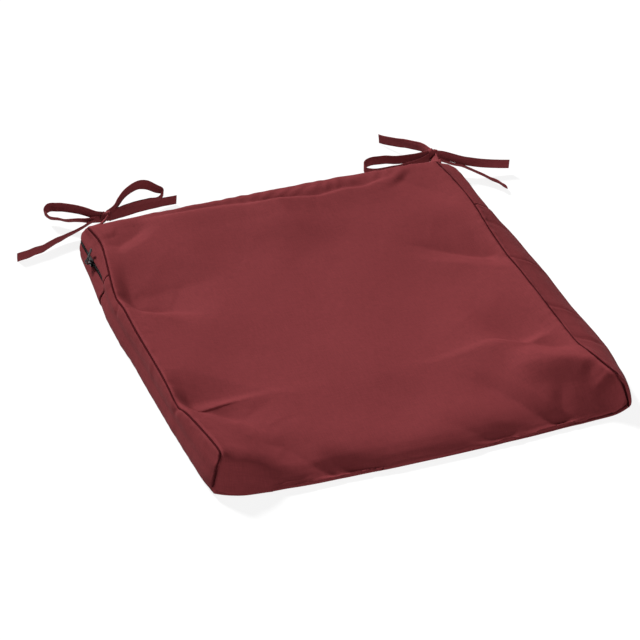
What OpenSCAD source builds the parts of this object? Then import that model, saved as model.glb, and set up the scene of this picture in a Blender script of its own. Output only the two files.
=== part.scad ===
// Boxed seat pad for a dining or garden chair: a foam slab in a loose zipped
// cover, with a fabric tie sewn into each rear corner.
// Frame: origin at the centre of the flat underside, +X to the right seen from
// the front, +Y to the rear, +Z up. Millimetres.

/* [Pad] */
// Width of the flat underside between the side seams
pad_w = 424; // [380:1:480]
// Depth from the front edge of the underside to the rear wall
pad_d = 458; // [420:1:500]
// Height of the cover at the middle of the top panel
pad_h = 48; // [46:0.5:56]
// How far the top seams sit inside the side walls
seam_in = 9; // [6:0.5:16]
// How far the side and front walls belly out below the zip
belly = 6; // [3:0.5:9]
// Thickness drawn for the cover cloth
cloth_t = 1.0; // [0.8:0.1:1.2]

/* [Foam] */
// Gap between the foam slab and the side walls of the cover
foam_gap = 9; // [7:0.5:14]
// Thickness of the foam slab
foam_t = 38; // [30:0.5:39]

/* [Zip] */
// Height of the middle of the zip above the underside
zip_z = 28; // [26:0.5:29]
// Clear width of the slot between the two zip facings
slot_w = 8.2; // [8.2:0.1:9]
// Length of zip that runs round onto each side
zip_side = 98; // [90:1:120]
// Distance of the slider from the rear wall when the pad lies as shown
slider_back = 47; // [44:1:56]
// Length of the pull tab
tab_len = 12; // [9:0.5:14]

/* [Ties] */
// Width of the folded tie strap
tie_w = 11; // [10:0.5:13]
// Thickness of the folded tie strap
tie_t = 1.6; // [1.2:0.1:2]

/* [Hidden] */
$fn = 48;
cover_red = "#78363a";
gusset_red = "#6a2d31";
thread_red = "#5d2327";
zip_black = "#17151a";
metal_grey = "#3a3a3e";
foam_white = "#e9e4d2";

hw = pad_w / 2;              // half width of the underside
yf = -230;                   // front edge of the underside
yr = yf + pad_d;             // outer face of the rear wall
seam_z = pad_h - 3.5;        // height of the top seams
wall_lo = 18;                // walls stand upright from here ...
wall_hi = 38;                // ... to here
slot_lo = zip_z - slot_w / 2;
slot_hi = zip_z + slot_w / 2;
y_zip = yr - zip_side;       // front end of the zip on both sides
y_slide = yr - slider_back;  // slider in the stored position
xs = hw - seam_in;           // top seams, left and right
ys = yr - 7;                 // rear top seam
y_front_seam = yf + 1;       // upright corner seams at the front
tape_t = 0.5;
coil_t = 1.8;
coil_h = 1.4;

// Cross-section of the padded cover seen from the front, inset by t.
function side_section(t) = [
    [-hw + 0.6 * t, t], [-hw - belly + t, 7], [-hw - belly + t, 12], [-hw + t, wall_lo],
    [-hw + t, wall_hi], [-xs + 0.6 * t, seam_z - t], [-0.55 * hw, pad_h - 1.1 - t], [0, pad_h - t],
    [0.55 * hw, pad_h - 1.1 - t], [xs - 0.6 * t, seam_z - t], [hw - t, wall_hi], [hw - t, wall_lo],
    [hw + belly - t, 12], [hw + belly - t, 7], [hw - 0.6 * t, t]];

// Outline seen from the left: the front rolls over as a waterfall, the rear is upright.
function fore_section(t) = [
    [yf + 0.6 * t, t], [yf - belly + t, 7], [yf - belly + t, 20], [yf - 2 + t, 31],
    [yf + 8 + 0.8 * t, 39 - 0.5 * t], [yf + 24, 44 - t], [yf + 55, pad_h - 0.8 - t], [yf + 95, pad_h + 1 - t],
    [ys - 40, pad_h + 1 - t], [ys - 0.6 * t, seam_z - t], [yr - t, wall_hi], [yr - t, 12], [yr - 5 - 0.6 * t, t]];

module along_y(y0, y1) translate([0, y1, 0]) rotate([90, 0, 0]) linear_extrude(height = y1 - y0) children();
module along_x(x0, x1) translate([x0, 0, 0]) rotate([90, 0, 90]) linear_extrude(height = x1 - x0) children();

module block(lo, hi) translate(lo) cube([hi[0] - lo[0], hi[1] - lo[1], hi[2] - lo[2]]);

module form(t) intersection() {
    along_y(yf - 40, yr + 40) polygon(side_section(t));
    along_x(-hw - 40, hw + 40) polygon(fore_section(t));
}
module shell() difference() { form(0); form(cloth_t); }

// Space on the outside of each top seam.
module side_zone(s, y0, y1, z0, z1) block([s > 0 ? xs : -hw - 40, y0, z0], [s > 0 ? hw + 40 : -xs, y1, z1]);
module rear_zone(z0, z1) block([-hw - 40, ys, z0], [hw + 40, yr + 40, z1]);

module top_panel() color(cover_red) difference() {
    shell();
    block([-400, -400, -10], [400, 400, cloth_t]);
    side_zone(-1, y_front_seam, yr + 40, -10, 90);
    side_zone(1, y_front_seam, yr + 40, -10, 90);
    rear_zone(-10, 90);
}

module bottom_panel() color(gusset_red) intersection() {
    shell();
    block([-400, -400, -1], [400, 400, cloth_t]);
}

module gusset(s) color(gusset_red) intersection() {
    shell();
    side_zone(s, y_front_seam, y_zip, cloth_t, 90);
}
module gusset_left() gusset(-1);
module gusset_right() gusset(1);

module facing(z0, z1) color(gusset_red) intersection() {
    shell();
    union() {
        side_zone(-1, y_zip, yr + 40, z0, z1);
        side_zone(1, y_zip, yr + 40, z0, z1);
        block([-xs, ys, z0], [xs, yr + 40, z1]);
    }
}
module zip_facing_upper() facing(slot_hi, 90);
module zip_facing_lower() facing(cloth_t, slot_lo);

module foam_insert() color(foam_white) translate([0, 0, cloth_t + 0.6]) intersection() {
    block([-hw + foam_gap, yf + 6, 0], [hw - foam_gap, yr - foam_gap, foam_t]);
    along_x(-hw, hw) polygon([[yf + 6, 0], [yf + 4, 14], [yf + 8, 27], [yf + 26, foam_t],
        [yr - foam_gap, foam_t], [yr - foam_gap, 0]]);
}

// A band that runs along the left side, across the rear and along the right side.
module horseshoe(outer, thick, y0, z0, z1) translate([0, 0, z0]) linear_extrude(height = z1 - z0)
    polygon([[-outer, y0], [-outer, yr - hw + outer], [outer, yr - hw + outer], [outer, y0],
        [outer - thick, y0], [outer - thick, yr - hw + outer - thick], [-outer + thick, yr - hw + outer - thick], [-outer + thick, y0]]);

module zip_tape_upper() color(zip_black) horseshoe(hw - cloth_t, tape_t, y_zip + 2, zip_z + 0.9, zip_z + 8.5);
module zip_tape_lower() color(zip_black) horseshoe(hw - cloth_t, tape_t, y_zip + 2, zip_z - 8, zip_z - 0.9);
module zip_coil_upper() color(zip_black) horseshoe(hw - cloth_t + coil_t, coil_t, y_zip + 5, zip_z + 0.8, zip_z + 0.8 + coil_h);
module zip_coil_lower() color(zip_black) horseshoe(hw - cloth_t + coil_t, coil_t, y_zip + 5, zip_z - 0.8 - coil_h, zip_z - 0.8);

// Stop: a small clip across both coils.
module zip_stop(s) color(metal_grey) {
    x0 = s * (hw - cloth_t);
    x1 = s * (hw - cloth_t + 2.4);
    block([min(x0, x1), y_zip + 2, zip_z - 2.6], [max(x0, x1), y_zip + 4.8, zip_z + 2.6]);
}
module zip_stop_left() zip_stop(-1);
module zip_stop_right() zip_stop(1);

// Slider, drawn with the travel along Y and the pull on the -X side.
sx = -hw + cloth_t;          // outer face of the tapes on the left
plate_x = sx - coil_t - 0.7; // inner face of the slider's outer plate
plate_t = 1.1;
axis_x = plate_x - plate_t - 3.3;   // axis of the bridge bar
ring_r = 1.35;
wire = 0.8;
ring_len = 3.6;
lean = 22;

module zip_slider() color(metal_grey) translate([0, y_slide, zip_z]) {
    // outer plate with bevelled long edges
    along_y(-5, 5) polygon([[plate_x, -3.6], [plate_x - plate_t, -2.6], [plate_x - plate_t, 2.6], [plate_x, 3.6]]);
    // flanges that hold the coils together
    for (s = [-1, 1]) block([plate_x - 0.01, -5, s > 0 ? 2.6 : -3.6], [sx - 0.4, 5, s > 0 ? 3.6 : -2.6]);
    // inner plate behind the tapes, and the post that joins the plates
    block([sx + tape_t + 0.4, -4.4, -3.4], [sx + tape_t + 1.4, 4.4, 3.4]);
    block([plate_x - 0.01, 1.6, -0.35], [sx + tape_t + 0.5, 4.2, 0.35]);
    // bridge
    for (s = [-1, 1]) block([axis_x - 0.45, s * 3.1 - 0.6, -0.6], [plate_x - plate_t + 0.01, s * 3.1 + 0.6, 0.6]);
    block([axis_x - 0.45, -3.7, -0.45], [axis_x + 0.45, 3.7, 0.45]);
}

module pull_frame() translate([axis_x, y_slide, zip_z]) rotate([0, lean, 0]) children();

module zip_ring() color(metal_grey) pull_frame() {
    translate([0, 0, ring_len]) rotate([90, 0, 0]) rotate_extrude(angle = 180) translate([ring_r, 0]) circle(d = wire, $fn = 24);
    rotate([-90, 0, 0]) rotate_extrude(angle = 180) translate([ring_r, 0]) circle(d = wire, $fn = 24);
    for (s = [-1, 1]) translate([s * ring_r, 0, 0]) cylinder(h = ring_len, d = wire, $fn = 24);
}

module zip_puller() color(metal_grey) pull_frame() translate([0, 0, ring_len + ring_r]) rotate([0, 90, 0])
    translate([0, 0, -0.45]) linear_extrude(height = 0.9) difference() {
        union() {
            circle(r = 1.75);
            translate([-tab_len + 2.2, -1.75]) square([tab_len - 2.2, 3.5]);
            translate([-tab_len + 2.2, 0]) circle(r = 2.2);
        }
        circle(r = 0.95);
    }

// Ties. Each is one folded strap sewn in at its middle; its parts are the
// sewn root, the knot, two loops and two tails of a bow.
root_z = 37.2;               // height of the line where a strap bends up or down
root_hi = root_z - 0.9;      // top of the sewn root

module tie_root(x) color(thread_red) block([x - tie_w / 2, yr, root_hi - 4.6], [x + tie_w / 2, yr + 1.1, root_hi]);
module tie_left_root() tie_root(-198);
module tie_right_root() tie_root(196);

// A strap of the given width and thickness on edge (up = true) or lying flat, through the points p.
module strap(p, w, t, up = true) for (i = [0 : len(p) - 2]) hull() for (q = [p[i], p[i + 1]])
    translate(q) cube(up ? [t, t, w] : [w, t, t], center = true);

// Closed outline of a loop: hull of a few upright bars.
module loop_body(p, w, t) hull() for (q = p) translate(q) cube([t, t, w], center = true);

module stem_and_knot(x, k) color(cover_red) {
    hull() {
        translate([x, yr + 3.1, root_z]) cube([tie_w - 1, 1.6, tie_t], center = true);
        translate([x + (k[0] - x) * 0.6, yr + (k[1] - yr) * 0.6, root_z + (k[2] - root_z) * 0.6]) cube([tie_w - 1, tie_t, tie_t], center = true);
    }
    hull() {
        translate([x + (k[0] - x) * 0.6, yr + (k[1] - yr) * 0.6, root_z + (k[2] - root_z) * 0.6]) cube([tie_w - 1, tie_t, tie_t], center = true);
        translate(k) cube([9, 6, 8], center = true);
    }
    translate(k) hull() { cube([13, 6, 9], center = true); cube([8, 9, 12], center = true); }
}

lk = [-177, yr + 47, 27];    // left knot
rk = [206, yr + 38, 27];     // right knot

module tie_left_knot() stem_and_knot(-198, lk);
module tie_right_knot() stem_and_knot(196, rk);

module tie_left_loop_outer() color(cover_red) loop_body([[-184, yr + 53, 26], [-212, yr + 74, 24], [-231, yr + 84, 17],
    [-228, yr + 80, 10], [-205, yr + 58, 12]], 9, 2.4);
module tie_left_loop_inner() color(cover_red) loop_body([[-170, yr + 53, 26], [-134, yr + 98, 29], [-112, yr + 90, 24],
    [-122, yr + 86, 14], [-150, yr + 68, 16]], 9, 2.4);
module tie_left_tail_outer() color(cover_red) strap([[-183, yr + 43, 20], [-203, yr + 34, 12], [-228, yr + 33, 6.4], [-276, yr + 28, 4.8]], 9, tie_t);
module tie_left_tail_inner() color(cover_red) strap([[-169, yr + 47, 22], [-140, yr + 54, 14], [-110, yr + 62, 7], [-80, yr + 72, 5.3]], 10, tie_t);

module tie_right_loop_inner() color(cover_red) loop_body([[199, yr + 38, 26], [165, yr + 38, 26], [122, yr + 42, 18],
    [120, yr + 38, 12], [165, yr + 26, 14]], 9, 2.4);
module tie_right_loop_outer() color(cover_red) strap([[214, yr + 40, 25], [244, yr + 30, 18], [268, yr + 20, 13], [287, yr + 12, 10]], 10, 4.4);
module tie_right_tail_rear() color(cover_red) strap([[203, yr + 43, 24], [196, yr + 80, 15], [184, yr + 108, 8], [174, yr + 128, 5.3]], 10, tie_t);
module tie_right_tail_front() color(cover_red) strap([[210, yr + 33, 18], [236, yr + 14, 9], [256, yr - 4, 5.2], [273, yr - 19, 4.8]], 9, tie_t);

// Close stitching that holds each tie root, and the row that holds each tape.
module bar_tack(x) color(thread_red) for (dz = [0.6, 3.5]) block([x - tie_w / 2 + 1, yr + 1.1, root_hi - 4.6 + dz], [x + tie_w / 2 - 1, yr + 1.4, root_hi - 4.1 + dz]);
module tie_left_bar_tack() bar_tack(-198);
module tie_right_bar_tack() bar_tack(196);

top_panel();
bottom_panel();
gusset_left();
gusset_right();
zip_facing_upper();
zip_facing_lower();
foam_insert();
zip_tape_upper();
zip_tape_lower();
zip_coil_upper();
zip_coil_lower();
zip_stop_left();
zip_stop_right();
zip_slider();
zip_ring();
zip_puller();
tie_left_root();
tie_left_bar_tack();
tie_left_knot();
tie_left_loop_outer();
tie_left_loop_inner();
tie_left_tail_outer();
tie_left_tail_inner();
tie_right_root();
tie_right_bar_tack();
tie_right_knot();
tie_right_loop_inner();
tie_right_tail_rear();
tie_right_loop_outer();
tie_right_tail_front();
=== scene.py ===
# Chair seat pad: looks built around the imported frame. Lengths in the tables are millimetres, scenes are metres.
import math
import bpy
import numpy as np
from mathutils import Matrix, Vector


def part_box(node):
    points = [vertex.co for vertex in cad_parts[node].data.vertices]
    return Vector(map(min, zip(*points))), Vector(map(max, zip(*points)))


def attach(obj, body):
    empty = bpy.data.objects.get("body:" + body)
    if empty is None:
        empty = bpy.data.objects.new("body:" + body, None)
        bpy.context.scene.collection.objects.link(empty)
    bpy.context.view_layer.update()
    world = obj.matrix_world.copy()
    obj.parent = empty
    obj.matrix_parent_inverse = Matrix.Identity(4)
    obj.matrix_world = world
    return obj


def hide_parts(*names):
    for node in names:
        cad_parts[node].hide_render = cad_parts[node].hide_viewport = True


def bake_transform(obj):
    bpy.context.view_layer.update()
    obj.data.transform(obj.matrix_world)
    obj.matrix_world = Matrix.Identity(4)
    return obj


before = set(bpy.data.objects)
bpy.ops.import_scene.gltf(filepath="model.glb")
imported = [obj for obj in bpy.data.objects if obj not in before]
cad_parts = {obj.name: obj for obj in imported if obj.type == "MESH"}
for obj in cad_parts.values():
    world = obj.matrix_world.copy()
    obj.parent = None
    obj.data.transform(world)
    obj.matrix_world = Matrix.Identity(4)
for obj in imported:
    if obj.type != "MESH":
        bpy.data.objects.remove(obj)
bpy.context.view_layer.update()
scene = bpy.context.scene
col = scene.collection
MM = 0.001
rng = np.random.default_rng(11)

# ---------------------------------------------------------------- camera
cam_data = bpy.data.cameras.new("camera")
cam = bpy.data.objects.new("camera", cam_data)
col.objects.link(cam)
scene.camera = cam
cam_data.sensor_width = 36.0
cam_data.lens = 180.0
cam_data.clip_end = 50.0
cam.location = (-0.9782, -2.553, 1.7934)
_fwd = Vector((0.29317, 0.78567, -0.54477))
cam.rotation_euler = _fwd.to_track_quat("-Z", "Y").to_euler()

# ---------------------------------------------------------------- helpers
def hermite(ts, ps, t):
    """Smooth interpolation through the points ps at the parameters ts."""
    ts = np.asarray(ts, float)
    ps = np.asarray(ps, float)
    t = np.asarray(t, float)
    d = np.diff(ts)
    sl = np.diff(ps, axis=0) / (d[:, None] if ps.ndim > 1 else d)
    m = np.empty_like(ps)
    m[0], m[-1] = sl[0], sl[-1]
    for i in range(1, len(ts) - 1):
        w0, w1 = d[i], d[i - 1]
        m[i] = (w0 * sl[i - 1] + w1 * sl[i]) / (w0 + w1)
        bad = sl[i - 1] * sl[i] <= 0
        m[i] = np.where(bad, m[i] * 0.35, m[i])
    k = np.clip(np.searchsorted(ts, t, side="right") - 1, 0, len(ts) - 2)
    h = d[k]
    x = (t - ts[k]) / h
    if ps.ndim > 1:
        h, x = h[..., None], x[..., None]
    return ((1 + 2 * x) * (1 - x) ** 2 * ps[k] + x * (1 - x) ** 2 * h * m[k]
            + x * x * (3 - 2 * x) * ps[k + 1] + x * x * (x - 1) * h * m[k + 1])


def polyline_fields(px, py, path, closed=False):
    """Signed distance from a polyline and the fraction along it, for every grid point."""
    best = np.full(px.shape, 1e9)
    sign = np.ones(px.shape)
    frac = np.zeros(px.shape)
    path = np.asarray(path, float)
    seg = np.hypot(*np.diff(path, axis=0).T)
    tot = seg.sum()
    run = 0.0
    for (ax, ay), (bx, by), ln in zip(path[:-1], path[1:], seg):
        dx, dy = bx - ax, by - ay
        t = np.clip(((px - ax) * dx + (py - ay) * dy) / (ln * ln), 0, 1)
        qx, qy = ax + t * dx, ay + t * dy
        d = np.hypot(px - qx, py - qy)
        s = np.sign((px - ax) * dy - (py - ay) * dx)
        m = d < best
        best = np.where(m, d, best)
        sign = np.where(m, s, sign)
        frac = np.where(m, (run + t * ln) / tot, frac)
        run += ln
    return best, sign, frac


def smooth_noise(x, y, scale, seed):
    """Value noise on a lattice, smooth and repeatable."""
    r = np.random.default_rng(seed)
    g = r.standard_normal((64, 64))
    fx, fy = x / scale + 17.3, y / scale + 9.1
    ix, iy = np.floor(fx).astype(int), np.floor(fy).astype(int)
    tx, ty = fx - ix, fy - iy
    tx, ty = tx * tx * (3 - 2 * tx), ty * ty * (3 - 2 * ty)
    v = lambda a, b: g[(ix + a) % 64, (iy + b) % 64]
    return ((v(0, 0) * (1 - tx) + v(1, 0) * tx) * (1 - ty) + (v(0, 1) * (1 - tx) + v(1, 1) * tx) * ty)


def grid_normals(P):
    du = np.gradient(P, axis=1)
    dv = np.gradient(P, axis=0)
    n = np.cross(du, dv)
    n /= np.maximum(np.linalg.norm(n, axis=2, keepdims=True), 1e-9)
    return n


def blur(F, k):
    F = F.copy()
    for _ in range(k):
        G = np.pad(F, [(1, 1), (1, 1)] + [(0, 0)] * (F.ndim - 2), mode="edge")
        F = (G[:-2, 1:-1] + G[2:, 1:-1] + G[1:-1, :-2] + G[1:-1, 2:] + 4 * F) / 8
    return F


def new_object(name, verts, faces, uvs=None, material=None, smooth=True):
    me = bpy.data.meshes.new(name)
    me.from_pydata([tuple(v) for v in verts], [], [tuple(f) for f in faces])
    me.validate()
    if uvs is not None:
        layer = me.uv_layers.new(name="cloth")
        idx = np.empty(len(me.loops), int)
        me.loops.foreach_get("vertex_index", idx)
        layer.data.foreach_set("uv", np.asarray(uvs, float)[idx].ravel())
    if smooth:
        me.polygons.foreach_set("use_smooth", [True] * len(me.polygons))
    me.update()
    ob = bpy.data.objects.new(name, me)
    col.objects.link(ob)
    if material is not None:
        me.materials.append(material)
    return ob


def grid_faces(nv, nu, flip=False, base=0):
    i = np.arange(nv - 1)[:, None] * nu + np.arange(nu - 1)[None, :] + base
    q = np.stack([i, i + 1, i + nu + 1, i + nu], -1).reshape(-1, 4)
    return q[:, ::-1] if flip else q


def cloth_panel(name, P, UV, thick, material, flip=False):
    """A thin closed cloth solid from a grid of points in mm: outer face P, inner face P minus thick."""
    nv, nu = P.shape[:2]
    n = grid_normals(P) * (-1 if flip else 1)
    Q = P - n * thick
    verts = np.concatenate([P.reshape(-1, 3), Q.reshape(-1, 3)]) * MM
    uvs = np.concatenate([UV.reshape(-1, 2), UV.reshape(-1, 2)]) * MM
    f = [grid_faces(nv, nu, flip), grid_faces(nv, nu, not flip, nv * nu)]
    edge = list(range(nu)) + [r * nu + nu - 1 for r in range(1, nv)] + [(nv - 1) * nu + c for c in range(nu - 2, -1, -1)] + [r * nu for r in range(nv - 2, 0, -1)]
    e = np.array(edge)
    e2 = np.roll(e, -1)
    rim = np.stack([e2, e, e + nv * nu, e2 + nv * nu], -1)
    f.append(rim[:, ::-1] if flip else rim)
    return new_object(name, verts, np.concatenate(f), uvs, material)


# ---------------------------------------------------------------- materials
def mat_base(name):
    m = bpy.data.materials.new(name)
    m.use_nodes = True
    nt = m.node_tree
    bsdf = nt.nodes["Principled BSDF"]
    return m, nt, bsdf


def cloth_material(name, color, rough=0.8, sheen=0.02, pitch=0.0011, bump=0.3, vary=0.10, spec=0.02):
    """Plain-woven polyester: crossing yarns as bump and tone, slubs, and a soft satin."""
    m, nt, b = mat_base(name)
    N, L = nt.nodes, nt.links
    uv = N.new("ShaderNodeUVMap"); uv.uv_map = "cloth"
    sep = N.new("ShaderNodeSeparateXYZ"); L.new(uv.outputs["UV"], sep.inputs[0])

    def wave(src, phase):
        mul = N.new("ShaderNodeMath"); mul.operation = "MULTIPLY_ADD"
        L.new(src, mul.inputs[0]); mul.inputs[1].default_value = 2 * math.pi / pitch; mul.inputs[2].default_value = phase
        s = N.new("ShaderNodeMath"); s.operation = "SINE"; L.new(mul.outputs[0], s.inputs[0])
        return s.outputs[0]
    wx, wy = wave(sep.outputs[0], 0.0), wave(sep.outputs[1], 0.0)
    prod = N.new("ShaderNodeMath"); prod.operation = "MULTIPLY"; L.new(wx, prod.inputs[0]); L.new(wy, prod.inputs[1])
    # slubs: stretched noise along each yarn direction
    def slub(sx, sy, detail):
        mp = N.new("ShaderNodeMapping"); L.new(uv.outputs["UV"], mp.inputs["Vector"]); mp.inputs["Scale"].default_value = (sx, sy, 1)
        nz = N.new("ShaderNodeTexNoise"); L.new(mp.outputs[0], nz.inputs["Vector"]); nz.inputs["Scale"].default_value = 1.0; nz.inputs["Detail"].default_value = detail
        return nz.outputs["Fac"]
    s1, s2 = slub(90, 900, 2.0), slub(900, 90, 2.0)
    add = N.new("ShaderNodeMath"); add.operation = "ADD"; L.new(s1, add.inputs[0]); L.new(s2, add.inputs[1])
    tone = N.new("ShaderNodeMapRange"); L.new(add.outputs[0], tone.inputs["Value"])
    tone.inputs["From Min"].default_value = 0.7; tone.inputs["From Max"].default_value = 1.3
    tone.inputs["To Min"].default_value = 1.0 - vary; tone.inputs["To Max"].default_value = 1.0 + vary
    weave = N.new("ShaderNodeMapRange"); L.new(prod.outputs[0], weave.inputs["Value"])
    weave.inputs["From Min"].default_value = -1; weave.inputs["From Max"].default_value = 1
    weave.inputs["To Min"].default_value = 0.88; weave.inputs["To Max"].default_value = 1.10
    tt = N.new("ShaderNodeMath"); tt.operation = "MULTIPLY"; L.new(tone.outputs[0], tt.inputs[0]); L.new(weave.outputs[0], tt.inputs[1])
    rgb = N.new("ShaderNodeVectorMath"); rgb.operation = "SCALE"; rgb.inputs[0].default_value = color[:3]; L.new(tt.outputs[0], rgb.inputs["Scale"])
    L.new(rgb.outputs[0], b.inputs["Base Color"])
    hs = N.new("ShaderNodeMath"); hs.operation = "MULTIPLY_ADD"; L.new(add.outputs[0], hs.inputs[0]); hs.inputs[1].default_value = 0.6; L.new(prod.outputs[0], hs.inputs[2])
    bp = N.new("ShaderNodeBump"); bp.inputs["Strength"].default_value = bump; bp.inputs["Distance"].default_value = 0.00012
    L.new(hs.outputs[0], bp.inputs["Height"]); L.new(bp.outputs[0], b.inputs["Normal"])
    b.inputs["Roughness"].default_value = rough
    b.inputs["Specular IOR Level"].default_value = spec
    b.inputs["Sheen Weight"].default_value = sheen
    b.inputs["Sheen Roughness"].default_value = 0.45
    b.inputs["Sheen Tint"].default_value = (0.9, 0.25, 0.27, 1)
    return m


def simple_noise_material(name, color, rough, metallic=0.0, scale=900.0, vary=0.15, bump=0.1, dist=0.00005, spec=0.5):
    m, nt, b = mat_base(name)
    N, L = nt.nodes, nt.links
    tc = N.new("ShaderNodeTexCoord")
    nz = N.new("ShaderNodeTexNoise"); nz.inputs["Scale"].default_value = scale; nz.inputs["Detail"].default_value = 4
    L.new(tc.outputs["Object"], nz.inputs["Vector"])
    mr = N.new("ShaderNodeMapRange"); L.new(nz.outputs["Fac"], mr.inputs["Value"])
    mr.inputs["From Min"].default_value = 0.25; mr.inputs["From Max"].default_value = 0.75
    mr.inputs["To Min"].default_value = 1 - vary; mr.inputs["To Max"].default_value = 1 + vary
    rgb = N.new("ShaderNodeVectorMath"); rgb.operation = "SCALE"; rgb.inputs[0].default_value = color[:3]; L.new(mr.outputs[0], rgb.inputs["Scale"])
    L.new(rgb.outputs[0], b.inputs["Base Color"])
    bp = N.new("ShaderNodeBump"); bp.inputs["Strength"].default_value = bump; bp.inputs["Distance"].default_value = dist
    L.new(nz.outputs["Fac"], bp.inputs["Height"]); L.new(bp.outputs[0], b.inputs["Normal"])
    b.inputs["Roughness"].default_value = rough
    b.inputs["Metallic"].default_value = metallic
    b.inputs["Specular IOR Level"].default_value = spec
    return m


COVER = (0.132, 0.0228, 0.0258)
m_cover = cloth_material("cover_cloth", COVER)
# Side walls and zip facings: the cover cloth darkened to 0.87, painted shade for walls that get less light than the
# top.
m_gusset_painted_shade = cloth_material("gusset_cloth_painted_shade", tuple(0.87 * c for c in COVER))
m_tie = cloth_material("tie_cloth", (0.142, 0.0260, 0.0295), pitch=0.0009)
m_thread = simple_noise_material("sewing_thread", (0.10, 0.018, 0.022), 0.55, scale=3000)
m_tape = simple_noise_material("zip_tape_weave", (0.006, 0.0055, 0.0065), 0.9, scale=2500, vary=0.3, bump=0.5, dist=0.0001, spec=0.05)
m_coil = simple_noise_material("zip_coil_nylon", (0.006, 0.0055, 0.0065), 0.55, scale=1500, spec=0.2)
m_metal = simple_noise_material("zip_enamel", (0.008, 0.008, 0.009), 0.42, metallic=0.0, scale=600, vary=0.25, spec=0.3)
m_foam = simple_noise_material("foam_cells", (0.80, 0.76, 0.62), 0.9, scale=700, vary=0.08, bump=0.7, dist=0.0004, spec=0.1)

# ---------------------------------------------------------------- shape of the cover
# Stations down the top panel: distance from the rear seam, then the left seam, the middle line and the right seam.
TOP = [
    # v     left x, y, z              mid y, z         right x, y, z
    (0,   (-203.0, 223.0, 42.0), (224.5, 43.0), (192.0, 222.0, 43.0)),
    (4,   (-202.6, 219.0, 43.2), (221.0, 44.9), (191.8, 218.0, 44.0)),
    (12,  (-201.6, 211.0, 43.8), (213.0, 44.9), (192.4, 210.0, 44.0)),
    (22,  (-200.2, 201.0, 43.6), (203.0, 45.0), (193.5, 200.0, 43.6)),
    (34,  (-199.2, 189.0, 43.3), (190.5, 44.6), (195.0, 188.0, 43.0)),
    (60,  (-202.3, 163.5, 43.2), (164.5, 43.0), (196.3, 162.0, 42.6)),
    (86,  (-206.5, 138.0, 42.8), (138.5, 40.6), (196.5, 136.0, 42.2)),
    (122, (-212.2, 101.0, 41.0), (102.5, 36.8), (194.2, 100.0, 41.6)),
    (135, (-213.4, 88.5, 39.6), (89.5, 35.7), (193.4, 87.5, 41.3)),
    (150, (-213.6, 74.0, 41.0), (74.5, 34.8), (192.8, 73.0, 40.8)),
    (202, (-215.0, 22.0, 41.4), (22.5, 31.6), (191.5, 21.5, 39.8)),
    (276, (-215.3, -52.0, 41.5), (-51.5, 27.2), (191.8, -52.0, 38.6)),
    (328, (-215.8, -104.0, 41.0), (-103.0, 24.0), (191.8, -103.0, 38.3)),
    (342, (-216.2, -118.0, 39.4), (-117.5, 44.2), (191.8, -116.0, 38.3)),
    (356, (-214.4, -131.5, 41.2), (-131.5, 44.2), (191.9, -130.0, 38.5)),
    (376, (-211.4, -151.5, 42.2), (-151.5, 43.9), (192.6, -150.0, 38.9)),
    (398, (-208.7, -173.0, 43.2), (-173.0, 42.6), (195.0, -173.0, 40.2)),
    (418, (-206.6, -192.5, 43.8), (-192.0, 39.0), (198.4, -195.0, 41.8)),
    (438, (-205.6, -210.5, 44.2), (-209.5, 31.8), (202.6, -216.5, 42.6)),
    (445, (-207.0, -215.6, 41.5), (-215.5, 27.6), (205.0, -220.5, 39.0)),
    (455, (-210.8, -218.0, 32.5), (-222.6, 21.6), (208.8, -222.0, 30.0)),
    (466, (-213.4, -218.6, 22.0), (-229.6, 13.6), (212.6, -222.0, 19.5)),
    (477, (-215.2, -218.8, 11.5), (-234.2, 5.4), (214.6, -220.4, 9.5)),
    (484, (-214.4, -218.6, 4.5), (-234.8, 3.0), (214.6, -219.6, 4.0)),
]
V_END = TOP[-1][0]
_v = [r[0] for r in TOP]
_L = np.array([r[1] for r in TOP]); _M = np.array([r[2] for r in TOP]); _R = np.array([r[3] for r in TOP])

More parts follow.
